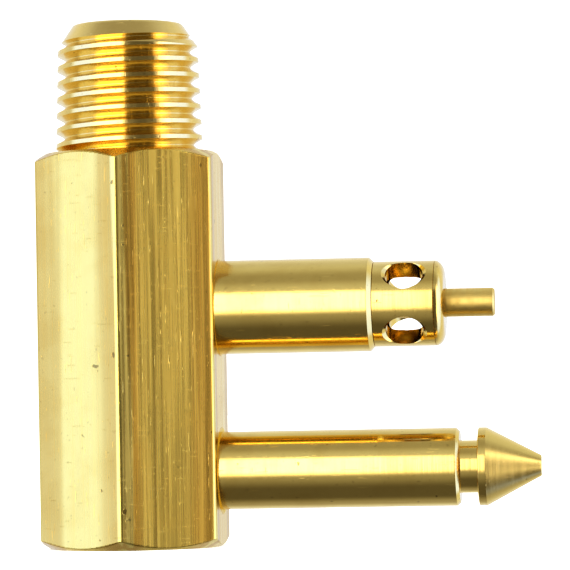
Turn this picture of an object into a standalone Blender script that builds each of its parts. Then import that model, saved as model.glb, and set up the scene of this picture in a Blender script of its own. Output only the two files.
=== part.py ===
"""Two-prong fuel tank connector, machined in brass.

A hexagonal bar stands on its lower end. A tapered pipe thread on its upper end screws into a fuel
tank. Two prongs leave one flat of the bar: the upper one is the fuel prong, a tube that holds a
sprung valve, and the lower one is a solid guide pin with a latch groove.

The frame is in metres. Its origin is the centre of the bar's lower end face, +Z runs up through the
thread, and +X points along the prongs.
"""

import math

import bmesh
import bpy
from mathutils import Vector

MM = 0.001

# Fits between pieces
FIXED_GAP = 0.10 * MM  # between pieces that are pressed or screwed together
RUNNING_GAP = 0.10 * MM  # between the valve pin and what guides it
SEAL_GAP = 0.08 * MM  # around the soft seat, which is squeezed in service

# Hexagonal bar
HEX_ACROSS_FLATS = 16.0 * MM
BODY_LENGTH = 35.8 * MM
END_CHAMFER_INSET = 0.30 * MM  # from the flats in to the edge of the end face
END_CHAMFER_ANGLE = math.radians(30)

# Tapered pipe thread: 1/4 inch, 18 turns to the inch
THREAD_PITCH = 25.4 / 18 * MM
THREAD_LENGTH = 11.75 * MM
THREAD_DIAMETER = 13.40 * MM  # over the crests, where the thread meets the bar
THREAD_TAPER = 1 / 16  # of diameter over length
THREAD_DEPTH = 0.78 * MM
THREAD_CREST_WIDTH = 0.38 * MM
THREAD_ROOT_WIDTH = 0.12 * MM
THREAD_END_DIAMETER = 9.9 * MM
THREAD_LEAD_ANGLE = math.radians(34)  # of the lead chamfer, from the axis
THREAD_COLLAR_LENGTH = 0.25 * MM  # plain, where the thread runs out at the bar

# Fuel way inside the bar
WAY_DIAMETER = 6.4 * MM
WAY_BELOW_PRONG = 3.2 * MM  # from the fuel prong's axis down to the drill's shoulder
WAY_MOUTH_CHAMFER = 0.35 * MM
DRILL_POINT_ANGLE = math.radians(59)  # half of the point angle
WEB_BEHIND_BARREL = 0.8 * MM  # metal between the fuel way and the barrel's seat
SIDE_WAY_DIAMETER = 3.6 * MM

# Places of the prongs
GUIDE_HEIGHT = 6.83 * MM
PRONG_SPACING = 14.77 * MM
BARREL_COUNTERSINK = 0.15 * MM
GUIDE_COUNTERSINK = 0.42 * MM

# Valve pin
PIN_DIAMETER = 2.55 * MM
PIN_REACH = 4.45 * MM  # beyond the nose
PIN_TIP_CHAMFER = 0.2 * MM
POPPET_THICKNESS = 1.3 * MM
POPPET_TAIL_DIAMETER = 3.2 * MM
POPPET_TAIL_LENGTH = 1.8 * MM

# Soft seat
SEAT_PASSAGE = 0.8 * MM  # between the pin and the seat's hole, all round
SEAT_OVERLAP = 0.4 * MM  # of the poppet's face on the seat
SEAT_THICKNESS = 1.2 * MM
SEAT_LEDGE = 0.45 * MM  # of the barrel's step that the seat lies on

# Barrel of the fuel prong
BARREL_DIAMETER = 8.5 * MM
BARREL_REACH = 14.10 * MM  # beyond the bar's flat
BARREL_END_CHAMFER = 0.40 * MM
POPPET_PASSAGE = 0.4 * MM  # between the poppet and the barrel's bore, all round
BARREL_BACK_WALL = 1.2 * MM

# Cage at the end of the barrel
CAGE_DIAMETER = 7.7 * MM
CAGE_LENGTH = 5.55 * MM  # beyond the barrel
CAGE_SPIGOT_LENGTH = 3.6 * MM  # screwed into the barrel
CAGE_WALL = 0.85 * MM
CROSS_HOLE_DIAMETER = 3.4 * MM
CROSS_HOLE_SETBACK = 2.68 * MM  # from the cage's front edge back to the holes' centres
CROSS_HOLE_PAIRS = 2

# Nose bush in the front of the cage
NOSE_LENGTH = 0.80 * MM
NOSE_ROUNDING_ALONG = 0.95 * MM
NOSE_ROUNDING_ACROSS = 1.25 * MM
NOSE_SPIGOT_LENGTH = 0.7 * MM

# Spring behind the poppet
SPRING_WIRE = 0.5 * MM
SPRING_TURNS = 9
SPRING_SIDE_CLEARANCE = 0.3 * MM
SPRING_END_GAP = 0.05 * MM
SPRING_SEAT_WIDTH = 0.6 * MM  # of the barrel's back wall under the spring

# Guide pin
GUIDE_DIAMETER = 7.05 * MM
GUIDE_SOCKET_DEPTH = 6.4 * MM
GUIDE_SHANK_REACH = 21.6 * MM  # beyond the bar's flat
GUIDE_END_CHAMFER = 0.3 * MM
GROOVE_WIDTH = 1.65 * MM
GROOVE_DIAMETER = 4.75 * MM
HEAD_DIAMETER = 7.05 * MM
HEAD_LAND = 0.72 * MM
CONE_HALF_ANGLE = math.radians(27.9)
CONE_TIP_DIAMETER = 1.85 * MM

# Facets
ROUND_STEPS = 32
THREAD_STEPS = 28
SPRING_STEPS = 14

# Worked out from the sizes above
FLAT = HEX_ACROSS_FLATS / 2
HEX_CORNER = FLAT / math.cos(math.radians(30))
FUEL_HEIGHT = GUIDE_HEIGHT + PRONG_SPACING
TOP = BODY_LENGTH + THREAD_LENGTH

PIN_RADIUS = PIN_DIAMETER / 2
SEAT_HOLE_RADIUS = PIN_RADIUS + SEAT_PASSAGE
POPPET_RADIUS = SEAT_HOLE_RADIUS + SEAT_OVERLAP
BARREL_BORE_RADIUS = POPPET_RADIUS + POPPET_PASSAGE
BARREL_MOUTH_RADIUS = BARREL_BORE_RADIUS + SEAT_LEDGE
SPIGOT_RADIUS = BARREL_MOUTH_RADIUS - FIXED_GAP
CHAMBER_RADIUS = SPIGOT_RADIUS - CAGE_WALL
SPRING_RADIUS = BARREL_BORE_RADIUS - SPRING_SIDE_CLEARANCE - SPRING_WIRE / 2

BARREL_SEAT = WAY_DIAMETER / 2 + WEB_BEHIND_BARREL  # bottom of the barrel's socket, along X
BARREL_BACK = BARREL_SEAT + FIXED_GAP
BARREL_FRONT = FLAT + BARREL_REACH
CAGE_BACK = BARREL_FRONT - CAGE_SPIGOT_LENGTH
CAGE_SHOULDER = BARREL_FRONT + FIXED_GAP
CAGE_FRONT = BARREL_FRONT + CAGE_LENGTH
SEAT_FRONT = CAGE_BACK - SEAL_GAP
SEAT_BACK = SEAT_FRONT - SEAT_THICKNESS
LEDGE = SEAT_BACK - SEAL_GAP
POPPET_FACE = SEAT_BACK - SEAL_GAP
NOSE_BACK = CAGE_FRONT + FIXED_GAP / 2
NOSE_FRONT = NOSE_BACK + NOSE_LENGTH
PIN_TIP = NOSE_FRONT + PIN_REACH
SPRING_BACK = BARREL_BACK + BARREL_BACK_WALL + SPRING_END_GAP
SPRING_FRONT = POPPET_FACE - POPPET_THICKNESS - SPRING_END_GAP


def clear_scene():
    for thing in list(bpy.data.objects):
        bpy.data.objects.remove(thing)


def material(name, colour, roughness, metallic):
    made = bpy.data.materials.new(name)
    made.use_nodes = True
    shader = made.node_tree.nodes["Principled BSDF"]
    shader.inputs["Base Color"].default_value = (*colour, 1)
    shader.inputs["Roughness"].default_value = roughness
    shader.inputs["Metallic"].default_value = metallic
    made.diffuse_color = (*colour, 1)
    return made


def object_from(name, bm, place, finish):
    """Turns a bmesh into a named object, with its rounds smooth and its edges sharp."""
    bmesh.ops.recalc_face_normals(bm, faces=bm.faces)
    mesh = bpy.data.meshes.new(name)
    bm.to_mesh(mesh)
    bm.free()
    mesh.shade_smooth()
    mesh.set_sharp_from_angle(angle=math.radians(30))
    made = bpy.data.objects.new(name, mesh)
    made.location = place
    if finish:
        mesh.materials.append(finish)
    bpy.context.scene.collection.objects.link(made)
    return made


def turned(name, profile, along, place=(0, 0, 0), finish=None, ring=False, steps=ROUND_STEPS):
    """A lathe piece: profile is (distance along the axis, radius), and a ring's profile closes on itself."""
    axis = Vector((1, 0, 0)) if along == "X" else Vector((0, 0, 1))
    out = Vector((0, 0, 1)) if along == "X" else Vector((1, 0, 0))
    bm = bmesh.new()
    points = [bm.verts.new(axis * distance + out * radius) for distance, radius in profile]
    lines = [bm.edges.new(pair) for pair in zip(points, points[1:])]
    if ring:
        lines.append(bm.edges.new((points[-1], points[0])))
    bmesh.ops.spin(
        bm, geom=points + lines, cent=(0, 0, 0), axis=axis, angle=math.tau, steps=steps, use_merge=True
    )
    bmesh.ops.remove_doubles(bm, verts=bm.verts, dist=1e-7)
    return object_from(name, bm, place, finish)


def guide_only(made):
    """Marks a cutter or another helper, which isn't a piece of the object."""
    made.hide_render = True
    made.display_type = "WIRE"
    return made


def combine(made, operation, others):
    for other in others:
        step = made.modifiers.new(f"{operation.lower()}_{other.name}", "BOOLEAN")
        step.operation = operation
        step.solver = "EXACT"
        step.object = guide_only(other)


def hex_bar(finish):
    """The bar, before its ends are chamfered. Two of its flats face along X."""
    bm = bmesh.new()
    corners = [math.radians(30 + 60 * n) for n in range(6)]
    lower = [bm.verts.new((HEX_CORNER * math.cos(a), HEX_CORNER * math.sin(a), 0)) for a in corners]
    base = bm.faces.new(lower)
    raised = bmesh.ops.extrude_face_region(bm, geom=[base], use_keep_orig=True)["geom"]
    upper = [item for item in raised if isinstance(item, bmesh.types.BMVert)]
    bmesh.ops.translate(bm, verts=upper, vec=(0, 0, BODY_LENGTH))
    return object_from("hex_body", bm, (0, 0, 0), finish)


def end_chamfers():
    """A turned blank whose conical ends cut the bar's corners back."""
    face = FLAT - END_CHAMFER_INSET
    wide = HEX_CORNER + 1 * MM
    rise = (wide - face) * math.tan(END_CHAMFER_ANGLE)
    profile = [(0, 0), (0, face), (rise, wide), (BODY_LENGTH - rise, wide), (BODY_LENGTH, face), (BODY_LENGTH, 0)]
    return turned("chamfer_blank", profile, "Z", steps=2 * ROUND_STEPS)


def crest_radius(height):
    """Radius over the thread's crests at a height above the bar's lower end."""
    return (THREAD_DIAMETER - (height - BODY_LENGTH) * THREAD_TAPER) / 2


def thread_ridge():
    """A right-hand helical ridge on a tapered core, a little longer than the finished thread."""
    flank = (THREAD_PITCH - THREAD_CREST_WIDTH - THREAD_ROOT_WIDTH) / 2
    rows = [
        (0, THREAD_DEPTH),
        (THREAD_ROOT_WIDTH, THREAD_DEPTH),
        (THREAD_ROOT_WIDTH + flank, 0),
        (THREAD_ROOT_WIDTH + flank + THREAD_CREST_WIDTH, 0),
    ]
    turns = math.ceil(THREAD_LENGTH / THREAD_PITCH) + 3
    start = BODY_LENGTH - 1.6 * THREAD_PITCH
    bm = bmesh.new()
    path = []
    for turn in range(turns):
        for offset, depth in rows:
            ring = []
            for step in range(THREAD_STEPS):
                share = step / THREAD_STEPS
                height = start + (turn + share) * THREAD_PITCH + offset
                radius = crest_radius(height) - depth
                angle = math.tau * share
                ring.append(bm.verts.new((radius * math.cos(angle), radius * math.sin(angle), height)))
            path.append(ring)
    count = len(rows)
    for lower, upper in zip(path, path[1:]):
        for left in range(THREAD_STEPS - 1):
            bm.faces.new((lower[left], lower[left + 1], upper[left + 1], upper[left]))
    for index in range(len(path) - 1 - count):
        bm.faces.new((path[index][-1], path[index + count][0], path[index + count + 1][0], path[index + 1][-1]))
    lower_edge = path[0] + [path[n][0] for n in range(count, 0, -1)]
    upper_edge = path[-1] + [path[n][-1] for n in range(len(path) - 2, len(path) - 2 - count, -1)]
    for edge in (lower_edge, upper_edge):
        height = sum(point.co.z for point in edge) / len(edge)
        centre = bm.verts.new((0, 0, height))
        for first, second in zip(edge, edge[1:] + edge[:1]):
            bm.faces.new((centre, first, second))
    return object_from("thread_ridge", bm, (0, 0, 0), None)


def thread_envelope():
    """What is left of the ridge: from inside the bar up to the thread's chamfered end."""
    buried = BODY_LENGTH - 0.6 * MM
    wide = THREAD_DIAMETER / 2 + 0.5 * MM
    end = THREAD_END_DIAMETER / 2
    chamfer_back = TOP - (wide - end) / math.tan(THREAD_LEAD_ANGLE)
    profile = [(buried, 0), (buried, wide), (chamfer_back, wide), (TOP, end), (TOP, 0)]
    return turned("thread_envelope", profile, "Z", steps=2 * THREAD_STEPS)


def thread_collar():
    """The short plain ring where the thread runs out at the bar's shoulder."""
    radius = THREAD_DIAMETER / 2
    buried = BODY_LENGTH - 0.6 * MM
    top = BODY_LENGTH + THREAD_COLLAR_LENGTH
    profile = [(buried, 0), (buried, radius), (top, radius), (top, 0)]
    return turned("thread_collar", profile, "Z", steps=2 * THREAD_STEPS)


def fuel_way():
    """The drilled way from the thread's mouth down past the fuel prong."""
    radius = WAY_DIAMETER / 2
    shoulder = FUEL_HEIGHT - WAY_BELOW_PRONG
    point = shoulder - radius / math.tan(DRILL_POINT_ANGLE)
    lip = radius + WAY_MOUTH_CHAMFER
    above = 0.5 * MM
    profile = [(point, 0), (shoulder, radius), (TOP - WAY_MOUTH_CHAMFER, radius), (TOP, lip)]
    profile += [(TOP + above, lip + above), (TOP + above, 0)]
    return turned("fuel_way_cut", profile, "Z")


def socket(name, height, bottom, radius, countersink, deeper=()):
    """The socket that a prong is pressed into, with its countersunk mouth and any deeper way."""
    mouth = radius + countersink
    beyond = 0.5 * MM
    profile = list(deeper) or [(bottom, 0)]
    profile += [(bottom, radius), (FLAT - countersink, radius), (FLAT, mouth)]
    profile += [(FLAT + beyond, mouth + beyond), (FLAT + beyond, 0)]
    return turned(name, profile, "X", (0, 0, height))


def barrel_socket():
    """The barrel's socket, with the short way through to the fuel way."""
    way = SIDE_WAY_DIAMETER / 2
    deeper = [(0, 0), (0, way), (BARREL_SEAT, way)]
    radius = BARREL_DIAMETER / 2 + FIXED_GAP
    return socket("barrel_socket_cut", FUEL_HEIGHT, BARREL_SEAT, radius, BARREL_COUNTERSINK, deeper)


def guide_socket():
    bottom = FLAT - GUIDE_SOCKET_DEPTH
    radius = GUIDE_DIAMETER / 2 + FIXED_GAP
    return socket("guide_socket_cut", GUIDE_HEIGHT, bottom, radius, GUIDE_COUNTERSINK)


def make_body(finish):
    body = hex_bar(finish)
    ridge = thread_ridge()
    combine(ridge, "INTERSECT", [thread_envelope()])
    combine(body, "INTERSECT", [end_chamfers()])
    combine(body, "UNION", [thread_collar(), ridge])
    combine(body, "DIFFERENCE", [fuel_way(), barrel_socket(), guide_socket()])


def make_barrel(finish):
    """A tube: its back wall carries the spring, and its mouth takes the seat and the cage."""
    outer = BARREL_DIAMETER / 2
    chamfer = min(BARREL_END_CHAMFER, (outer - BARREL_MOUTH_RADIUS) / 2)
    port = SPRING_RADIUS + SPRING_WIRE / 2 - SPRING_SEAT_WIDTH
    back_wall = BARREL_BACK + BARREL_BACK_WALL
    profile = [
        (BARREL_BACK, port),
        (BARREL_BACK, outer),
        (BARREL_FRONT - chamfer, outer),
        (BARREL_FRONT, outer - chamfer),
        (BARREL_FRONT, BARREL_MOUTH_RADIUS),
        (LEDGE, BARREL_MOUTH_RADIUS),
        (LEDGE, BARREL_BORE_RADIUS),
        (back_wall, BARREL_BORE_RADIUS),
        (back_wall, port),
    ]
    turned("fuel_barrel", profile, "X", (0, 0, FUEL_HEIGHT), finish, ring=True)


def make_seat(finish):
    outer = BARREL_MOUTH_RADIUS - SEAL_GAP
    profile = [(SEAT_BACK, SEAT_HOLE_RADIUS), (SEAT_BACK, outer), (SEAT_FRONT, outer), (SEAT_FRONT, SEAT_HOLE_RADIUS)]
    turned("seat_ring", profile, "X", (0, 0, FUEL_HEIGHT), finish, ring=True)


def make_cage(finish):
    """The perforated cage, whose spigot holds the seat down in the barrel."""
    outer = CAGE_DIAMETER / 2
    profile = [
        (CAGE_BACK, CHAMBER_RADIUS),
        (CAGE_BACK, SPIGOT_RADIUS),
        (CAGE_SHOULDER, SPIGOT_RADIUS),
        (CAGE_SHOULDER, outer),
        (CAGE_FRONT, outer),
        (CAGE_FRONT, CHAMBER_RADIUS),
    ]
    cage = turned("valve_cage", profile, "X", (0, 0, FUEL_HEIGHT), finish, ring=True)
    half = CAGE_DIAMETER
    radius = CROSS_HOLE_DIAMETER / 2
    place = (CAGE_FRONT - CROSS_HOLE_SETBACK, 0, FUEL_HEIGHT)
    for pair in range(CROSS_HOLE_PAIRS):
        drill = turned(f"cross_hole_{pair + 1}_cut", [(-half, 0), (-half, radius), (half, radius), (half, 0)], "Z", place)
        drill.rotation_euler.x = math.pi * (pair + 0.5) / CROSS_HOLE_PAIRS
        combine(cage, "DIFFERENCE", [drill])


def make_nose(finish):
    """The bush that closes the cage and guides the pin. Its front edge is rounded."""
    outer = CAGE_DIAMETER / 2
    hole = PIN_RADIUS + RUNNING_GAP
    spigot = CHAMBER_RADIUS - FIXED_GAP
    back = CAGE_FRONT - NOSE_SPIGOT_LENGTH
    profile = [(back, hole), (back, spigot), (NOSE_BACK, spigot)]
    start = math.asin(1 - NOSE_LENGTH / NOSE_ROUNDING_ALONG)
    arc_steps = 5
    for step in range(arc_steps + 1):
        angle = start + (math.pi / 2 - start) * step / arc_steps
        along = NOSE_FRONT - NOSE_ROUNDING_ALONG * (1 - math.sin(angle))
        radius = outer - NOSE_ROUNDING_ACROSS * (math.cos(start) - math.cos(angle))
        profile.append((along, radius))
    profile.append((NOSE_FRONT, hole))
    turned("nose_bush", profile, "X", (0, 0, FUEL_HEIGHT), finish, ring=True)


def make_pin(finish):
    """The valve pin: a stem, the poppet that closes on the seat, and a tail inside the spring."""
    slide = bpy.data.objects.new("valve_slide", None)
    slide.location = (POPPET_FACE, 0, FUEL_HEIGHT)
    bpy.context.scene.collection.objects.link(slide)
    tail = min(POPPET_TAIL_DIAMETER / 2, SPRING_RADIUS - SPRING_WIRE / 2 - RUNNING_GAP)
    tip = PIN_TIP - POPPET_FACE
    poppet_back = -POPPET_THICKNESS
    profile = [
        (poppet_back - POPPET_TAIL_LENGTH, 0),
        (poppet_back - POPPET_TAIL_LENGTH, tail),
        (poppet_back, tail),
        (poppet_back, POPPET_RADIUS),
        (0, POPPET_RADIUS),
        (0, PIN_RADIUS),
        (tip - PIN_TIP_CHAMFER, PIN_RADIUS),
        (tip, PIN_RADIUS - PIN_TIP_CHAMFER),
        (tip, 0),
    ]
    pin = turned("valve_pin", profile, "X", finish=finish, steps=24)
    pin.parent = slide


def make_spring(finish):
    """A compression spring with one closed turn at each end."""
    closed = SPRING_WIRE * 1.12
    length = SPRING_FRONT - SPRING_BACK - SPRING_WIRE
    open_pitch = (length - 2 * closed) / (SPRING_TURNS - 2)
    curve = bpy.data.curves.new("valve_spring", "CURVE")
    curve.dimensions = "3D"
    curve.bevel_depth = SPRING_WIRE / 2
    curve.bevel_resolution = 1
    curve.use_fill_caps = True
    line = curve.splines.new("POLY")
    count = SPRING_TURNS * SPRING_STEPS
    line.points.add(count)
    for step in range(count + 1):
        turn = step / SPRING_STEPS
        along = closed * min(turn, 1) + open_pitch * min(max(turn - 1, 0), SPRING_TURNS - 2)
        along += closed * max(turn - (SPRING_TURNS - 1), 0)
        angle = math.tau * turn
        place = (along, SPRING_RADIUS * math.cos(angle), SPRING_RADIUS * math.sin(angle))
        line.points[step].co = (*place, 1)
    curve.materials.append(finish)
    spring = bpy.data.objects.new("valve_spring", curve)
    spring.location = (SPRING_BACK + SPRING_WIRE / 2, 0, FUEL_HEIGHT)
    bpy.context.scene.collection.objects.link(spring)


def make_guide(finish):
    """The solid guide pin: a shank, a latch groove, and a conical head."""
    shank = GUIDE_DIAMETER / 2
    groove = GROOVE_DIAMETER / 2
    head = HEAD_DIAMETER / 2
    tip = CONE_TIP_DIAMETER / 2
    back = FLAT - GUIDE_SOCKET_DEPTH + FIXED_GAP
    shank_front = FLAT + GUIDE_SHANK_REACH
    head_back = shank_front + GROOVE_WIDTH
    cone_back = head_back + HEAD_LAND
    cone_front = cone_back + (head - tip) / math.tan(CONE_HALF_ANGLE)
    profile = [
        (back, 0),
        (back, shank - GUIDE_END_CHAMFER),
        (back + GUIDE_END_CHAMFER, shank),
        (shank_front - GUIDE_END_CHAMFER, shank),
        (shank_front, shank - GUIDE_END_CHAMFER),
        (shank_front, groove),
        (head_back, groove),
        (head_back, head),
        (cone_back, head),
        (cone_front, tip),
        (cone_front, 0),
    ]
    turned("guide_pin", profile, "X", (0, 0, GUIDE_HEIGHT), finish)


def main():
    clear_scene()
    brass = material("drawn_brass", (0.78, 0.58, 0.22), 0.30, 1.0)
    turned_brass = material("turned_brass", (0.80, 0.61, 0.25), 0.22, 1.0)
    pin_brass = material("pin_brass", (0.80, 0.61, 0.25), 0.26, 1.0)
    steel = material("spring_steel", (0.62, 0.62, 0.62), 0.28, 1.0)
    nitrile = material("nitrile", (0.03, 0.03, 0.03), 0.6, 0.0)
    make_body(brass)
    make_barrel(turned_brass)
    make_seat(nitrile)
    make_cage(turned_brass)
    make_nose(turned_brass)
    make_pin(pin_brass)
    make_spring(steel)
    make_guide(turned_brass)


main()
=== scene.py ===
"""Looks of the two-prong fuel tank connector: fine meshes, brass, rubber and steel, and a white studio.

Every piece here stands for the CAD node of the same part and rides on its body. Sizes come from the
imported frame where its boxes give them, and the rest are the named values below, in metres.
"""

import math

import bpy
from mathutils import Matrix, Vector


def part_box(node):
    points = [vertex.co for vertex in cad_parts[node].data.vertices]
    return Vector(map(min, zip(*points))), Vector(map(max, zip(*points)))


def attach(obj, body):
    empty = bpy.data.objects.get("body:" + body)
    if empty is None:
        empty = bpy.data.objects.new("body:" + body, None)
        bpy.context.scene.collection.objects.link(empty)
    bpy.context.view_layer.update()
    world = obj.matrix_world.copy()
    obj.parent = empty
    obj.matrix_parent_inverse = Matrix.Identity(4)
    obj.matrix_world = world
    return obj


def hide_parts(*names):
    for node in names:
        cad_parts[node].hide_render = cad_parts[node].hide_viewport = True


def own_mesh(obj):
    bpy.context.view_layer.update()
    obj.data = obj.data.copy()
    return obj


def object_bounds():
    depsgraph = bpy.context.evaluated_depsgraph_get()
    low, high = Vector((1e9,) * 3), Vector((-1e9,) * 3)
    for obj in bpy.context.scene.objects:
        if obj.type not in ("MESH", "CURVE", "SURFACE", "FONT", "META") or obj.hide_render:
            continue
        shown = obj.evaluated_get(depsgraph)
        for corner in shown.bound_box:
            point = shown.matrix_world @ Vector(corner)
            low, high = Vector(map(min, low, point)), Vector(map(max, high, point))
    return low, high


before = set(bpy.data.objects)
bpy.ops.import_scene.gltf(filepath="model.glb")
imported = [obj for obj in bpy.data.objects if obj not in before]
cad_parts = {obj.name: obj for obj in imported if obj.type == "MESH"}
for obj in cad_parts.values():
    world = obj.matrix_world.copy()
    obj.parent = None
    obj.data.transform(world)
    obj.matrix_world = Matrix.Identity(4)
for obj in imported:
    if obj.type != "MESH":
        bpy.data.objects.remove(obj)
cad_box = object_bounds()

MM = 0.001

# Hexagonal bar
HEX_CORNER_RADIUS = 0.50 * MM
END_CHAMFER_INSET = 0.30 * MM
END_CHAMFER_ANGLE = math.radians(30)
EDGE_SOFTNESS = 0.07 * MM

# Pipe thread
THREAD_LENGTH = 11.75 * MM
THREAD_PITCH = 25.4 / 18 * MM
THREAD_DIAMETER = 13.40 * MM
THREAD_TAPER = 1 / 16
THREAD_DEPTH = 0.78 * MM
THREAD_CREST_WIDTH = 0.38 * MM
THREAD_ROOT_WIDTH = 0.12 * MM
THREAD_END_DIAMETER = 9.9 * MM
THREAD_LEAD_ANGLE = math.radians(34)
THREAD_RIM_RADIUS = 0.5 * MM

# Fuel way and sockets
WAY_DIAMETER = 6.4 * MM
WAY_BELOW_PRONG = 3.2 * MM
WAY_MOUTH_CHAMFER = 0.35 * MM
DRILL_POINT_ANGLE = math.radians(59)
WEB_BEHIND_BARREL = 0.8 * MM
SIDE_WAY_DIAMETER = 3.6 * MM
SOCKET_GAP = 0.03 * MM
BARREL_COUNTERSINK = 0.15 * MM
GUIDE_COUNTERSINK = 0.42 * MM
GUIDE_SOCKET_DEPTH = 6.4 * MM

# Prongs
BARREL_END_CHAMFER = 0.40 * MM
BARREL_MOUTH_RADIUS = 3.325 * MM
BARREL_BORE_RADIUS = 2.875 * MM
BARREL_LEDGE_SETBACK = 4.96 * MM
BARREL_BACK_WALL = 1.2 * MM
BARREL_PORT_RADIUS = 1.975 * MM
CAGE_CHAMBER_RADIUS = 2.375 * MM
CROSS_HOLE_RADIUS = 1.7 * MM
CROSS_HOLE_SETBACK = 2.68 * MM
CROSS_HOLE_COUNTERSINK = 0.32 * MM
NOSE_ROUNDING_ALONG = 0.95 * MM
NOSE_ROUNDING_ACROSS = 1.25 * MM
PIN_RADIUS = 1.275 * MM
PIN_HOLE_RADIUS = 1.335 * MM
POPPET_THICKNESS = 1.3 * MM
POPPET_TAIL_RADIUS = 1.6 * MM
GUIDE_SHANK_REACH = 21.6 * MM
GROOVE_WIDTH = 1.65 * MM
GROOVE_DIAMETER = 4.75 * MM
HEAD_DIAMETER = 7.05 * MM
HEAD_LAND = 0.72 * MM
CONE_TIP_DIAMETER = 1.85 * MM
SPRING_WIRE = 0.5 * MM
SPRING_TURNS = 9
SEAL_GAP = 0.02 * MM
SEAT_PASSAGE = 0.8 * MM  # between the pin and the seat ring's hole, all round

# Softness of edges
BARREL_SOFTNESS = 0.05 * MM
TURNED_SOFTNESS = 0.06 * MM
SEAT_SOFTNESS = 0.18 * MM
THREAD_SOFTNESS = 0.10 * MM

# Facets
ROUND_STEPS = 160
THREAD_STEPS = 180

# Places read from the frame
hex_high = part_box("hex_body")[1]
FLAT = hex_high.x
HEX_CORNER = FLAT / math.cos(math.radians(30))
TOP = hex_high.z
BODY_LENGTH = TOP - THREAD_LENGTH
barrel_low, barrel_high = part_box("fuel_barrel")
FUEL_HEIGHT = (barrel_low.z + barrel_high.z) / 2
guide_low, guide_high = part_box("guide_pin")
GUIDE_HEIGHT = (guide_low.z + guide_high.z) / 2


# ---------------------------------------------------------------- meshes


def mesh_object(name, points, faces):
    mesh = bpy.data.meshes.new(name)
    mesh.from_pydata(points, [], faces)
    mesh.update()
    made = bpy.data.objects.new(name, mesh)
    bpy.context.scene.collection.objects.link(made)
    return made


def softened(profile, radius, ring=False, arc_steps=3):
    """The profile with its corners rounded, and a support point beside each arc to keep long runs flat."""
    count = len(profile)
    made = []
    for index, here in enumerate(profile):
        here = Vector(here)
        if not ring and index in (0, count - 1):
            made.append(tuple(here))
            continue
        before = Vector(profile[index - 1]) - here
        after = Vector(profile[(index + 1) % count]) - here
        turn = math.pi - before.angle(after)
        if turn < math.radians(4):
            made.append(tuple(here))
            continue
        reach = min(radius * math.tan(turn / 2), 0.42 * before.length, 0.42 * after.length)
        start = here + before.normalized() * reach
        end = here + after.normalized() * reach
        support = min(0.5 * reach, 0.04 * before.length, 0.04 * after.length)
        made.append(tuple(start + before.normalized() * support))
        for step in range(arc_steps + 1):
            t = step / arc_steps
            point = start * (1 - t) ** 2 + here * 2 * t * (1 - t) + end * t ** 2
            made.append(tuple(point))
        made.append(tuple(end + after.normalized() * support))
    return made


def turned(name, profile, along, place=(0, 0, 0), ring=False, steps=ROUND_STEPS):
    """A lathe piece in world coordinates. The profile holds (distance along the axis, radius)."""
    points, faces, rows = [], [], []
    for distance, radius in profile:
        if radius < 1e-9:
            rows.append([len(points)])
            points.append((distance, 0, 0))
            continue
        rows.append(range(len(points), len(points) + steps))
        for step in range(steps):
            angle = math.tau * step / steps
            points.append((distance, radius * math.cos(angle), radius * math.sin(angle)))
    pairs = list(zip(rows, rows[1:]))
    if ring:
        pairs.append((rows[-1], rows[0]))
    for lower, upper in pairs:
        for step in range(steps):
            after = (step + 1) % steps
            if len(lower) == 1:
                faces.append((lower[0], upper[after], upper[step]))
            elif len(upper) == 1:
                faces.append((lower[step], lower[after], upper[0]))
            else:
                faces.append((lower[step], lower[after], upper[after], upper[step]))
    base = Vector(place)
    if along == "X":
        points = [base + Vector((a, b, c)) for a, b, c in points]
    else:
        points = [base + Vector((b, c, a)) for a, b, c in points]
    return facing_out(mesh_object(name, points, faces))


def facing_out(made):
    """Turns a closed mesh's faces outwards."""
    mesh = made.data
    volume = 0.0
    for face in mesh.polygons:
        ring = [mesh.vertices[v].co for v in face.vertices]
        for second, third in zip(ring[1:], ring[2:]):
            volume += ring[0].dot(second.cross(third))
    if volume < 0:
        mesh.flip_normals()
    return made


def combine(made, operation, other):
    """Applies one exact Boolean step and removes the other object."""
    step = made.modifiers.new(operation.lower(), "BOOLEAN")
    step.operation = operation
    step.solver = "EXACT"
    step.object = other
    graph = bpy.context.evaluated_depsgraph_get()
    result = bpy.data.meshes.new_from_object(made.evaluated_get(graph))
    made.modifiers.clear()
    made.data = result
    bpy.data.objects.remove(other)
    return made


def shade(made, angle=28):
    made.data.shade_smooth()
    made.data.set_sharp_from_angle(angle=math.radians(angle))
    return made


def hex_outline():
    """The rounded hexagon as (angle, radius) pairs, closer together at its corners."""
    outline = []
    tangent = HEX_CORNER_RADIUS * math.tan(math.radians(30))
    side = HEX_CORNER / 2 - tangent
    flat_steps, corner_steps = 22, 8
    for number in range(6):
        heading = math.radians(60 * number)
        out = Vector((math.cos(heading), math.sin(heading)))
        across = Vector((-out.y, out.x))
        for step in range(flat_steps):
            share = -1 + 2 * (0.5 - 0.5 * math.cos(math.pi * step / flat_steps))
            outline.append(out * FLAT + across * side * share)
        centre = out * (FLAT - HEX_CORNER_RADIUS) + across * side
        for step in range(corner_steps):
            bend = heading + math.radians(60) * step / corner_steps
            outline.append(centre + HEX_CORNER_RADIUS * Vector((math.cos(bend), math.sin(bend))))
    return outline


def soft_least(first, second, softness):
    """The smaller of two numbers, blended where they are close."""
    mix = max(softness - abs(first - second), 0) / softness
    return min(first, second) - mix * mix * softness / 4


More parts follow.
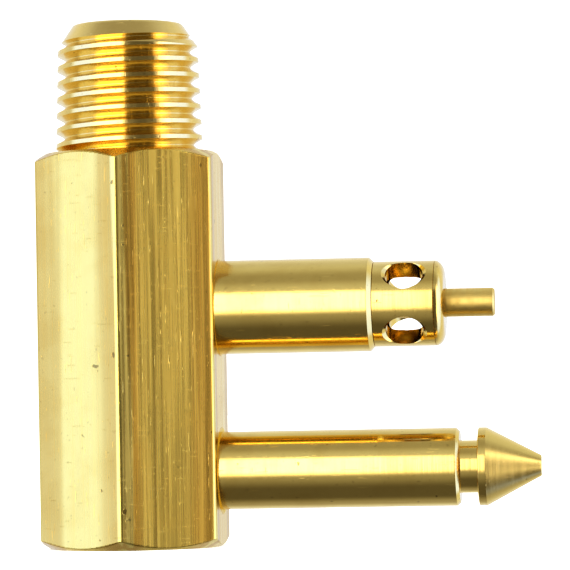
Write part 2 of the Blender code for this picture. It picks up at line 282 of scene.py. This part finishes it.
def hex_solid():
    """The bar with its soft corners and chamfered ends, as one closed mesh."""
    outline = hex_outline()
    face = FLAT - END_CHAMFER_INSET
    slope = 1 / math.tan(END_CHAMFER_ANGLE)
    chamfer_rise = 1.1 * MM
    near = [chamfer_rise * (step / 36) ** 1.15 for step in range(37)]
    middle = [chamfer_rise + (BODY_LENGTH - 2 * chamfer_rise) * step / 12 for step in range(1, 12)]
    heights = near + middle + [BODY_LENGTH - height for height in reversed(near)]
    points, faces, rows = [], [], []

    def add_row(row):
        rows.append(range(len(points), len(points) + len(row)))
        points.extend(row)

    rings = [0.25, 0.5, 0.75, 0.9, 0.97]
    rim = [(p.x / p.length * face, p.y / p.length * face) for p in outline]
    for share in rings:
        add_row([(x * share, y * share, 0) for x, y in rim])
    for height in heights:
        cone = face + min(height, BODY_LENGTH - height) * slope
        row = []
        for p in outline:
            reach = soft_least(p.length, cone, EDGE_SOFTNESS)
            row.append((p.x / p.length * reach, p.y / p.length * reach, height))
        add_row(row)
    for share in reversed(rings):
        add_row([(x * share, y * share, BODY_LENGTH) for x, y in rim])
    count = len(outline)
    for lower, upper in zip(rows, rows[1:]):
        for step in range(count):
            after = (step + 1) % count
            faces.append((lower[step], lower[after], upper[after], upper[step]))
    for height, row in ((0, rows[0]), (BODY_LENGTH, rows[-1])):
        centre = len(points)
        points.append((0, 0, height))
        for step in range(count):
            after = (step + 1) % count
            edge = (row[after], row[step]) if height == 0 else (row[step], row[after])
            faces.append((centre, *edge))
    return facing_out(mesh_object("hex_body_shell", points, faces))


def crest_radius(height):
    return (THREAD_DIAMETER - (height - BODY_LENGTH) * THREAD_TAPER) / 2


def thread_profile():
    """One pitch of the thread as (offset, depth) pairs: a narrow crest and a rounded valley with wear."""
    valley = THREAD_PITCH - THREAD_CREST_WIDTH
    steps_across = 22
    line = []
    for step in range(steps_across + 1):
        share = step / steps_across
        depth = THREAD_DEPTH * (1 - abs(2 * share - 1) ** 1.5)
        line.append((valley * share, depth))
    soft = softened([(-THREAD_CREST_WIDTH, 0)] + line + [(THREAD_PITCH, 0)], THREAD_SOFTNESS)
    return [point for point in soft if 0 <= point[0] < THREAD_PITCH * 0.999]


def thread_solid():
    """The right-hand thread as one closed ridge, cut to length by its envelope."""
    rows = thread_profile()
    turns = math.ceil(THREAD_LENGTH / THREAD_PITCH) + 3
    start = BODY_LENGTH - 1.6 * THREAD_PITCH - (THREAD_PITCH - THREAD_CREST_WIDTH - THREAD_ROOT_WIDTH) / 2
    points, faces, path = [], [], []
    for turn in range(turns):
        for offset, depth in rows:
            path.append(range(len(points), len(points) + THREAD_STEPS))
            for step in range(THREAD_STEPS):
                share = step / THREAD_STEPS
                height = start + (turn + share) * THREAD_PITCH + offset
                radius = crest_radius(height) - depth
                angle = math.tau * share
                points.append((radius * math.cos(angle), radius * math.sin(angle), height))
    count = len(rows)
    for lower, upper in zip(path, path[1:]):
        for left in range(THREAD_STEPS - 1):
            faces.append((lower[left], lower[left + 1], upper[left + 1], upper[left]))
    for index in range(len(path) - 1 - count):
        here, above = path[index], path[index + count]
        faces.append((here[-1], above[0], path[index + count + 1][0], path[index + 1][-1]))
    lower_edge = list(path[0]) + [path[n][0] for n in range(count, 0, -1)]
    upper_edge = list(path[-1]) + [path[n][-1] for n in range(len(path) - 2, len(path) - 2 - count, -1)]
    for edge, turned_over in ((lower_edge, True), (upper_edge, False)):
        centre = len(points)
        points.append((0, 0, sum(points[n][2] for n in edge) / len(edge)))
        for first, second in zip(edge, edge[1:] + edge[:1]):
            faces.append((centre, second, first) if turned_over else (centre, first, second))
    ridge = facing_out(mesh_object("thread_ridge", points, faces))
    wide = THREAD_DIAMETER / 2 + 0.5 * MM
    end = THREAD_END_DIAMETER / 2
    buried = BODY_LENGTH - 0.5 * MM
    chamfer_back = TOP - (wide - end) / math.tan(THREAD_LEAD_ANGLE)
    profile = [(buried, 0), (buried, wide), (chamfer_back, wide), (TOP, end), (TOP, 0)]
    rim = softened(profile[2:], THREAD_RIM_RADIUS, arc_steps=6)[1:]
    envelope = turned("thread_envelope", profile[:3] + rim, "Z", steps=THREAD_STEPS)
    return combine(ridge, "INTERSECT", envelope)


def way_cutter():
    radius = WAY_DIAMETER / 2
    shoulder = FUEL_HEIGHT - WAY_BELOW_PRONG
    point = shoulder - radius / math.tan(DRILL_POINT_ANGLE)
    lip, above = radius + WAY_MOUTH_CHAMFER, 0.5 * MM
    profile = [(point, 0), (shoulder, radius), (TOP - WAY_MOUTH_CHAMFER, radius), (TOP, lip)]
    profile += [(TOP + above, lip + above), (TOP + above, 0)]
    return turned("way_cutter", profile, "Z", steps=96)


def socket_cutter(height, bottom, radius, countersink, deeper=()):
    mouth, beyond = radius + countersink, 0.5 * MM
    profile = list(deeper) or [(bottom, 0)]
    profile += [(bottom, radius), (FLAT - countersink, radius), (FLAT, mouth)]
    profile += [(FLAT + beyond, mouth + beyond), (FLAT + beyond, 0)]
    return turned("socket_cutter", profile, "X", (0, 0, height), steps=128)


def make_body():
    body = hex_solid()
    combine(body, "UNION", thread_solid())
    combine(body, "DIFFERENCE", way_cutter())
    seat = WAY_DIAMETER / 2 + WEB_BEHIND_BARREL
    way = SIDE_WAY_DIAMETER / 2
    barrel_radius = (barrel_high.z - barrel_low.z) / 2 + SOCKET_GAP
    deeper = [(0, 0), (0, way), (seat, way)]
    combine(body, "DIFFERENCE", socket_cutter(FUEL_HEIGHT, seat, barrel_radius, BARREL_COUNTERSINK, deeper))
    guide_radius = (guide_high.z - guide_low.z) / 2 + SOCKET_GAP
    bottom = FLAT - GUIDE_SOCKET_DEPTH
    combine(body, "DIFFERENCE", socket_cutter(GUIDE_HEIGHT, bottom, guide_radius, GUIDE_COUNTERSINK))
    return shade(body)


def make_barrel():
    outer = (barrel_high.z - barrel_low.z) / 2
    back, front = barrel_low.x, barrel_high.x
    ledge = front - BARREL_LEDGE_SETBACK
    wall = back + BARREL_BACK_WALL
    profile = [
        (back, BARREL_PORT_RADIUS),
        (back, outer),
        (front - BARREL_END_CHAMFER, outer),
        (front, outer - BARREL_END_CHAMFER),
        (front, BARREL_MOUTH_RADIUS),
        (ledge, BARREL_MOUTH_RADIUS),
        (ledge, BARREL_BORE_RADIUS),
        (wall, BARREL_BORE_RADIUS),
        (wall, BARREL_PORT_RADIUS),
    ]
    soft = softened(profile, BARREL_SOFTNESS, ring=True)
    return shade(turned("fuel_barrel_shell", soft, "X", (0, 0, FUEL_HEIGHT), ring=True))


def make_cage():
    low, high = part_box("valve_cage")
    outer = (high.z - low.z) / 2
    shoulder = barrel_high.x + SOCKET_GAP
    spigot = BARREL_MOUTH_RADIUS - SOCKET_GAP
    profile = [
        (low.x, CAGE_CHAMBER_RADIUS),
        (low.x, spigot),
        (shoulder, spigot),
        (shoulder, outer),
        (high.x, outer),
        (high.x, CAGE_CHAMBER_RADIUS),
    ]
    place = Vector((high.x - CROSS_HOLE_SETBACK, 0, FUEL_HEIGHT))
    soft = softened(profile, TURNED_SOFTNESS, ring=True)
    cage = turned("valve_cage_shell", soft, "X", (0, 0, FUEL_HEIGHT), ring=True)
    half = outer + 1 * MM
    sink = outer - CROSS_HOLE_COUNTERSINK
    radius = CROSS_HOLE_RADIUS
    flare = radius + (half - sink)
    drill_profile = [(-half, 0), (-half, flare), (-sink, radius), (sink, radius), (half, flare), (half, 0)]
    for pair in range(2):
        drill = turned("cross_drill", drill_profile, "Z", steps=96)
        drill.data.transform(Matrix.Rotation(math.radians(45 + 90 * pair), 4, "X"))
        drill.data.transform(Matrix.Translation(place))
        combine(cage, "DIFFERENCE", drill)
    return shade(cage)


def make_nose():
    low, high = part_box("nose_bush")
    outer = (high.z - low.z) / 2
    cage_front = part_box("valve_cage")[1].x
    back = cage_front + SOCKET_GAP
    spigot = CAGE_CHAMBER_RADIUS - SOCKET_GAP
    profile = [(low.x, PIN_HOLE_RADIUS), (low.x, spigot), (back, spigot)]
    begin = math.asin(1 - (high.x - back) / NOSE_ROUNDING_ALONG)
    arc_steps = 16
    for step in range(arc_steps + 1):
        angle = begin + (math.pi / 2 - begin) * step / arc_steps
        along = high.x - NOSE_ROUNDING_ALONG * (1 - math.sin(angle))
        profile.append((along, outer - NOSE_ROUNDING_ACROSS * (math.cos(begin) - math.cos(angle))))
    profile += [(high.x, PIN_HOLE_RADIUS + 0.06 * MM), (high.x - 0.06 * MM, PIN_HOLE_RADIUS)]
    return shade(turned("nose_bush_shell", profile, "X", (0, 0, FUEL_HEIGHT), ring=True))


def make_pin():
    low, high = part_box("valve_pin")
    poppet = (high.z - low.z) / 2
    seat_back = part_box("seat_ring")[0].x
    face = seat_back - SEAL_GAP
    back = face - POPPET_THICKNESS
    tip_chamfer = 0.16 * MM
    profile = [
        (low.x, 0),
        (low.x, POPPET_TAIL_RADIUS),
        (back, POPPET_TAIL_RADIUS),
        (back, poppet),
        (face, poppet),
        (face, PIN_RADIUS),
        (high.x - tip_chamfer, PIN_RADIUS),
        (high.x, PIN_RADIUS - tip_chamfer),
        (high.x, 0),
    ]
    soft = softened(profile, TURNED_SOFTNESS)
    return shade(turned("valve_pin_shell", soft, "X", (0, 0, FUEL_HEIGHT), steps=96))


def make_seat():
    low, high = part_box("seat_ring")
    outer = (high.z - low.z) / 2
    inner = PIN_RADIUS + SEAT_PASSAGE
    profile = [(low.x, inner), (low.x, outer), (high.x, outer), (high.x, inner)]
    soft = softened(profile, SEAT_SOFTNESS, ring=True, arc_steps=5)
    return shade(turned("seat_ring_shell", soft, "X", (0, 0, FUEL_HEIGHT), ring=True))


def make_spring():
    """The fitted spring, with closed and ground end turns."""
    low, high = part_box("valve_spring")
    radius = (high.z - low.z) / 2 - SPRING_WIRE / 2
    wire_steps, turn_steps = 14, 48
    closed = SPRING_WIRE * 1.05
    length = high.x - low.x - SPRING_WIRE
    open_pitch = (length - 2 * closed) / (SPRING_TURNS - 2)
    points, faces, rows = [], [], []
    for step in range(SPRING_TURNS * turn_steps + 1):
        turn = step / turn_steps
        along = closed * min(turn, 1) + open_pitch * min(max(turn - 1, 0), SPRING_TURNS - 2)
        along += closed * max(turn - (SPRING_TURNS - 1), 0)
        angle = math.tau * turn
        out = Vector((0, math.cos(angle), math.sin(angle)))
        centre = Vector((low.x + SPRING_WIRE / 2 + along, 0, FUEL_HEIGHT)) + out * radius
        rows.append(range(len(points), len(points) + wire_steps))
        for spoke in range(wire_steps):
            bend = math.tau * spoke / wire_steps
            offset = (out * math.cos(bend) + Vector((1, 0, 0)) * math.sin(bend)) * SPRING_WIRE / 2
            point = centre + offset
            point.x = min(max(point.x, low.x + 0.08 * MM), high.x - 0.08 * MM)
            points.append(point)
    for lower, upper in zip(rows, rows[1:]):
        for spoke in range(wire_steps):
            after = (spoke + 1) % wire_steps
            faces.append((lower[spoke], lower[after], upper[after], upper[spoke]))
    faces.append(tuple(rows[0]))
    faces.append(tuple(reversed(rows[-1])))
    return shade(facing_out(mesh_object("valve_spring_coil", points, faces)), 40)


def make_guide():
    shank = (guide_high.z - guide_low.z) / 2
    groove = GROOVE_DIAMETER / 2
    head = HEAD_DIAMETER / 2
    tip = CONE_TIP_DIAMETER / 2
    chamfer = 0.3 * MM
    shank_front = FLAT + GUIDE_SHANK_REACH
    head_back = shank_front + GROOVE_WIDTH
    cone_back = head_back + HEAD_LAND
    profile = [
        (guide_low.x, 0),
        (guide_low.x, shank - chamfer),
        (guide_low.x + chamfer, shank),
        (shank_front - chamfer, shank),
        (shank_front, shank - chamfer),
        (shank_front, groove),
        (head_back, groove),
        (head_back, head - 0.08 * MM),
        (head_back + 0.08 * MM, head),
        (cone_back, head),
        (guide_high.x, tip),
        (guide_high.x, 0),
    ]
    return shade(turned("guide_pin_shell", softened(profile, TURNED_SOFTNESS), "X", (0, 0, GUIDE_HEIGHT)))


# ---------------------------------------------------------------- materials


GOLDEN = (0.86, 0.62, 0.17)
BAR = (0.86, 0.61, 0.13)
PALE = (0.845, 0.61, 0.185)
POLISHED_CORNER = (0.80, 0.60, 0.15)
# Multiplied in toward the edges of each flat of the bar: painted shade, which leaves a painted sheen down
# the middle.
PAINTED_EDGE_SHADE = (0.78, 0.69, 0.60)
DARK_SPOT = (0.14, 0.075, 0.018)


class Shader:
    """A node material in the making. Each method adds a node and returns its output."""

    def __init__(self, name):
        self.material = bpy.data.materials.new(name)
        self.material.use_nodes = True
        self.tree = self.material.node_tree
        self.tree.nodes.clear()
        place = self.add("TexCoord").outputs["Object"]
        self.place = self.vector("MULTIPLY", place, (1000, 1000, 1000))  # in millimetres

    def add(self, kind, inputs=None, **settings):
        made = self.tree.nodes.new("ShaderNode" + kind)
        for key, value in settings.items():
            setattr(made, key, value)
        for key, value in (inputs or {}).items():
            if isinstance(value, bpy.types.NodeSocket):
                self.tree.links.new(value, made.inputs[key])
            else:
                made.inputs[key].default_value = value
        return made

    def vector(self, operation, first, second):
        return self.add("VectorMath", {0: first, 1: second}, operation=operation).outputs[0]

    def math(self, operation, first, second=0.0, third=0.0):
        return self.add("Math", {0: first, 1: second, 2: third}, operation=operation).outputs[0]

    def noise(self, scale, detail=3.0, roughness=0.55, stretch=(1, 1, 1), distortion=0.0):
        place = self.vector("MULTIPLY", self.place, stretch)
        inputs = {"Vector": place, "Scale": scale, "Detail": detail, "Roughness": roughness}
        inputs["Distortion"] = distortion
        return self.add("TexNoise", inputs).outputs[0]

    def ramp(self, value, low, high, to_low=0.0, to_high=1.0):
        inputs = {"Value": value, "From Min": low, "From Max": high, "To Min": to_low, "To Max": to_high}
        return self.add("MapRange", inputs, interpolation_type="SMOOTHSTEP").outputs[0]

    def blend(self, share, first, second):
        made = self.add("Mix", {0: share, 6: first, 7: second}, data_type="RGBA")
        return made.outputs[2]

    def finish(self, inputs):
        shader = self.add("BsdfPrincipled", inputs)
        self.add("OutputMaterial", {"Surface": shader.outputs[0]})
        return self.material


def brass(
    name, colour, roughness, grain, fine_height, bands, band_height,
    scratch_share, tarnish_share, zone, polish_and_painted_sheen=False,
):
    """Brass with tool marks. grain and bands scale the place, so marks run where they are small.

    zone is (axis, place, colour, roughness) of the finish beyond a place in millimetres. A bar can get
    polished corners and painted shade toward the edges of each flat, leaving a painted sheen down its
    middle.
    """
    s = Shader(name)
    fine = s.noise(1.0, 3, 0.6, grain)
    broad = s.noise(1.0, 2, 0.5, bands)
    cloud = s.noise(0.20, 3, 0.6, distortion=0.4)
    pits = s.ramp(s.noise(2.6, 1, 0.5), 0.70, 0.78)
    speck = s.ramp(s.noise(1.3, 1, 0.4), 0.775, 0.80)
    scratches = None
    for stretch, limit in (((0.4, 0.4, 7), 0.715), ((6, 6, 0.5), 0.72), ((3, 4, 3.5), 0.75)):
        line = s.ramp(s.noise(1.0, 1, 0.5, stretch, 0.3), limit, limit + 0.05)
        scratches = line if scratches is None else s.math("MAXIMUM", scratches, line)
    scratches = s.math("MULTIPLY", scratches, scratch_share)
    tarnish = s.math("MULTIPLY", s.ramp(cloud, 0.38, 0.68), tarnish_share)
    dark = tuple(c * k for c, k in zip(colour, (0.84, 0.78, 0.66)))
    tone = s.blend(tarnish, (*colour, 1), (*dark, 1))
    split = s.add("SeparateXYZ", {0: s.place})
    axis, start, zone_colour, zone_roughness = zone
    beyond = s.ramp(split.outputs[axis], start - 0.05, start + 0.05)
    tone = s.blend(beyond, tone, (*zone_colour, 1))
    rough = s.ramp(fine, 0.3, 0.7, roughness * 0.8, roughness * 1.25)
    # Polished corners, and painted shade toward the edges of each flat, which leaves a painted sheen down
    # its middle.
    if polish_and_painted_sheen:
        turn = s.math("MULTIPLY", s.math("ARCTAN2", split.outputs["Y"], split.outputs["X"]), 6 / math.tau)
        aside = s.math("ABSOLUTE", s.math("SUBTRACT", s.math("FRACT", s.math("ADD", turn, 6.5)), 0.5))
        aside = s.math("MULTIPLY_ADD", s.math("SUBTRACT", broad, 0.5), 0.5, aside)
        before = s.math("SUBTRACT", 1.0, beyond)
        edge = s.math("MULTIPLY", s.ramp(aside, 0.22, 0.40), before)
        corner = s.math("MULTIPLY", s.ramp(aside, 0.47, 0.495), before)
        edge = s.math("MULTIPLY", edge, s.math("SUBTRACT", 1.0, corner))
        tone = s.blend(corner, tone, (*POLISHED_CORNER, 1))
        inputs = {0: edge, 6: tone, 7: (*PAINTED_EDGE_SHADE, 1)}
        tone = s.add("Mix", inputs, data_type="RGBA", blend_type="MULTIPLY").outputs[2]
    marks = s.math("MAXIMUM", s.math("MULTIPLY", pits, 0.35), speck)
    tone = s.blend(s.math("MULTIPLY", marks, 0.6), tone, (*DARK_SPOT, 1))
    rough = s.math("ADD", rough, s.math("MULTIPLY", tarnish, 0.08))
    rough = s.math("ADD", rough, s.math("MULTIPLY", beyond, zone_roughness - roughness))
    height = s.math("MULTIPLY", fine, fine_height)
    height = s.math("MULTIPLY_ADD", broad, band_height, height)
    height = s.math("MULTIPLY_ADD", scratches, -0.006, height)
    height = s.math("MULTIPLY_ADD", speck, -0.008, height)
    bump = s.add("Bump", {"Height": height, "Strength": 1.0, "Distance": MM}).outputs[0]
    return s.finish({"Base Color": tone, "Metallic": 1.0, "Roughness": rough, "Normal": bump})


def rubber():
    s = Shader("nitrile_rubber")
    grain = s.noise(14, 3)
    tone = s.blend(s.ramp(s.noise(1.5), 0.35, 0.7), (0.018, 0.018, 0.019, 1), (0.035, 0.034, 0.033, 1))
    bump = s.add("Bump", {"Height": grain, "Strength": 1.0, "Distance": 0.01 * MM}).outputs[0]
    return s.finish({"Base Color": tone, "Roughness": s.ramp(grain, 0.3, 0.7, 0.5, 0.68), "Normal": bump})


def spring_steel():
    s = Shader("spring_steel")
    drawn = s.noise(6, 3, 0.6, (0.3, 1, 1))
    tone = s.blend(s.ramp(s.noise(0.8), 0.35, 0.7), (0.62, 0.61, 0.59, 1), (0.50, 0.48, 0.45, 1))
    bump = s.add("Bump", {"Height": drawn, "Strength": 1.0, "Distance": 0.004 * MM}).outputs[0]
    rough = s.ramp(drawn, 0.3, 0.7, 0.18, 0.32)
    return s.finish({"Base Color": tone, "Metallic": 1.0, "Roughness": rough, "Normal": bump})


# ---------------------------------------------------------------- studio


CENTRE = (cad_box[0] + cad_box[1]) / 2
DOME_RADIUS = 0.62

# The room: a pale wall, and flags at angles round a hoop over the prongs, where 0 is in front, 90 is
# overhead and 180 behind. A flag begins, is full, starts to fall and ends at its four angles.
WALL = 0.85
FLAGS = (
    ((-180, -150, -20, 20), 0.45),  # the bench
    ((-120, -90, -60, -20), 0.15),  # a dark card under the prongs
    ((40, 65, 75, 110), 0.45),  # a grey card overhead
)
SOFT_BOX = 6.0
SIDE_CARD = 0.15
BACK_WALL = (0.67, 0.73, 0.86)
KEY_LIGHT = (2.4, 2.4, 2.9)
RIGHT_LIGHT = (2.3, 2.35, 3.1)


def heading(azimuth, elevation):
    """Unit vector. Azimuth 0 points along -Y and grows towards +X."""
    a, e = math.radians(azimuth), math.radians(elevation)
    return Vector((math.sin(a) * math.cos(e), -math.cos(a) * math.cos(e), math.sin(e)))


def steps(value, table):
    """Straight-line interpolation in a table of (place, amount) rows."""
    for (low, first), (high, second) in zip(table, table[1:]):
        if value <= high:
            share = min(max((value - low) / (high - low), 0), 1)
            return first + (second - first) * share
    return table[-1][1]


def rise(value, low, high):
    share = min(max((value - low) / (high - low), 0), 1)
    return share * share * (3 - 2 * share)


def window(value, begin, full, fall, end):
    """1 between full and fall, 0 before begin and after end, and soft in between."""
    return rise(value, begin, full) * (1 - rise(value, fall, end))


def toned(level):
    """Colour of a soft reflector: the brighter it is, the cooler it looks beside the brass."""
    limits = ((0.82, 0.82), (1.12, 1.12), (3.2, 2.8))
    return Vector([top * (1 - math.exp(-level / reach)) for top, reach in limits])


def glow(azimuth, elevation):
    """Colour of the studio in one direction."""
    out = heading(azimuth, elevation)
    hoop = math.degrees(math.atan2(out.z, -out.y))
    level = WALL
    for angles, shade_level in FLAGS:
        level += (shade_level - level) * window(hoop, *angles)
    side = window(azimuth, -1, 7, 60, 90) * window(elevation, -70, -40, 26, 40)
    level += (SIDE_CARD - level) * side
    left = window(azimuth, -100, -80, -60, -40) * window(elevation, -30, -8, 27, 38)
    level += (SOFT_BOX - level) * left
    backward = -math.cos(math.radians(azimuth))
    behind = rise(backward, 0.0, 0.6) * rise(math.cos(math.radians(elevation)), 0.5, 0.9)
    key = window(azimuth, -58, -44, -5, 1) * window(elevation, -24, -5, 28, 37)
    sill = steps(azimuth, ((52, -14), (70, -30), (92, -48)))
    right = window(azimuth, 50, 68, 108, 126) * window(elevation, sill - 10, sill + 8, 22, 42)
    bright = Vector(RIGHT_LIGHT).lerp(toned(SOFT_BOX), rise(azimuth, 70, 88))
    colour = toned(level)
    for share, light in ((behind, BACK_WALL), (key, KEY_LIGHT), (right, bright)):
        colour = colour.lerp(Vector(light), share)
    return colour


def make_dome():
    """What the metal mirrors: one great shell of soft boxes and flags, unseen by the camera."""
    columns, lines = 180, 90
    points, faces, colours = [], [], []
    for line in range(lines + 1):
        elevation = -90 + 180 * line / lines
        for column in range(columns):
            azimuth = -180 + 360 * column / columns
            points.append(CENTRE + heading(azimuth, min(max(elevation, -89.9), 89.9)) * DOME_RADIUS)
            colours.extend((*glow(azimuth, elevation), 1))
    for line in range(lines):
        for column in range(columns):
            after = (column + 1) % columns
            low, high = line * columns, (line + 1) * columns
            faces.append((low + column, low + after, high + after, high + column))
    dome = mesh_object("studio_dome", points, faces)
    layer = dome.data.color_attributes.new("glow", "FLOAT_COLOR", "POINT")
    layer.data.foreach_set("color", colours)
    s = Shader("studio_dome")
    light = s.add("Attribute", attribute_name="glow").outputs["Color"]
    shine = s.add("Emission", {"Color": light, "Strength": 1.0}).outputs[0]
    s.add("OutputMaterial", {"Surface": shine})
    dome.data.materials.append(s.material)
    dome.visible_camera = False
    dome.visible_diffuse = False
    dome.visible_shadow = False


def make_studio():
    world = bpy.data.worlds.new("white_room")
    world.use_nodes = True
    world.node_tree.nodes["Background"].inputs["Color"].default_value = (1, 1, 1, 1)
    world.node_tree.nodes["Background"].inputs["Strength"].default_value = 1.0
    bpy.context.scene.world = world
    bpy.context.scene.view_settings.view_transform = "Standard"
    bpy.context.scene.view_settings.look = "High Contrast"
    make_dome()

    floor = mesh_object("floor", [(-3, -3, 0), (3, -3, 0), (3, 3, 0), (-3, 3, 0)], [(0, 1, 2, 3)])
    s = Shader("pale_floor")
    inputs = {"Base Color": (0.9, 0.9, 0.9, 1), "Roughness": 0.9, "Specular IOR Level": 0.0}
    inputs.update({"Emission Color": (1, 1, 1, 1), "Emission Strength": 0.45})
    floor.data.materials.append(s.finish(inputs))
    floor.visible_glossy = False

    lamp_data = bpy.data.lights.new("overhead_box", "AREA")
    lamp_data.shape = "RECTANGLE"
    lamp_data.size, lamp_data.size_y = 0.5, 0.4
    lamp_data.energy = 0.6
    lamp = bpy.data.objects.new("overhead_box", lamp_data)
    lamp.location = CENTRE + Vector((0, 0, 0.55))
    lamp.visible_camera = False
    lamp.visible_glossy = False
    bpy.context.scene.collection.objects.link(lamp)


def make_camera():
    """A long lens near the bench, a little to the prongs' side of square on."""
    place = Vector((50.229, -326.155, 13.09)) * MM
    yaw, pitch, roll = (math.radians(angle) for angle in (-6.338, 1.82, -1.066))
    ahead = Vector((math.sin(yaw) * math.cos(pitch), math.cos(yaw) * math.cos(pitch), math.sin(pitch)))
    right = Vector((math.cos(yaw), -math.sin(yaw), 0))
    up = right.cross(ahead)
    right, up = right * math.cos(roll) + up * math.sin(roll), up * math.cos(roll) - right * math.sin(roll)
    data = bpy.data.cameras.new("camera")
    data.sensor_width = 36
    data.lens = 229.02
    data.clip_start, data.clip_end = 0.01, 10
    camera = bpy.data.objects.new("camera", data)
    camera.matrix_world = Matrix((
        (right.x, up.x, -ahead.x, place.x),
        (right.y, up.y, -ahead.y, place.y),
        (right.z, up.z, -ahead.z, place.z),
        (0, 0, 0, 1),
    ))
    bpy.context.scene.collection.objects.link(camera)
    bpy.context.scene.camera = camera


# ---------------------------------------------------------------- assembly


def dress(piece, node, body, slot, *materials):
    for finish in materials:
        piece.data.materials.append(finish)
    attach(piece, body)
    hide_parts(node)


make_camera()
make_studio()

cone_back = FLAT + GUIDE_SHANK_REACH + GROOVE_WIDTH + HEAD_LAND
thread_zone = ("Z", BODY_LENGTH / MM + 0.1, PALE, 0.16)
cone_zone = ("X", cone_back / MM, GOLDEN, 0.20)
no_zone = ("X", 90, GOLDEN, 0.42)
# The bar gets polished corners, and painted shade toward the edges of its flats leaves a painted sheen down
# their middles.
drawn = brass(
    "drawn_brass", BAR, 0.24, grain=(2.9, 2.9, 0.05), fine_height=0.0055, bands=(0.45, 0.45, 0.012),
    band_height=0.045, scratch_share=1.3, tarnish_share=0.35, zone=thread_zone, polish_and_painted_sheen=True,
)
turned_x = brass(
    "turned_brass", GOLDEN, 0.13, grain=(3.2, 0.12, 0.12), fine_height=0.0040, bands=(0.7, 0.05, 0.05),
    band_height=0.006, scratch_share=0.6, tarnish_share=0.4, zone=cone_zone,
)
pin_brass = brass(
    "pin_brass", GOLDEN, 0.42, grain=(4.0, 0.4, 0.4), fine_height=0.0040, bands=(0.7, 0.05, 0.05),
    band_height=0.006, scratch_share=0.5, tarnish_share=0.5, zone=no_zone,
)

dress(make_body(), "hex_body", "connector", "drawn_brass", drawn)
dress(make_barrel(), "fuel_barrel", "connector", "turned_brass", turned_x)
dress(make_cage(), "valve_cage", "connector", "turned_brass", turned_x)
dress(make_nose(), "nose_bush", "connector", "turned_brass", turned_x)
dress(make_guide(), "guide_pin", "connector", "turned_brass", turned_x)
dress(make_pin(), "valve_pin", "valve", "pin_brass", pin_brass)
dress(make_seat(), "seat_ring", "connector", "nitrile", rubber())
spring = make_spring()
dress(spring, "valve_spring", "connector", "spring_steel", spring_steel())
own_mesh(spring)
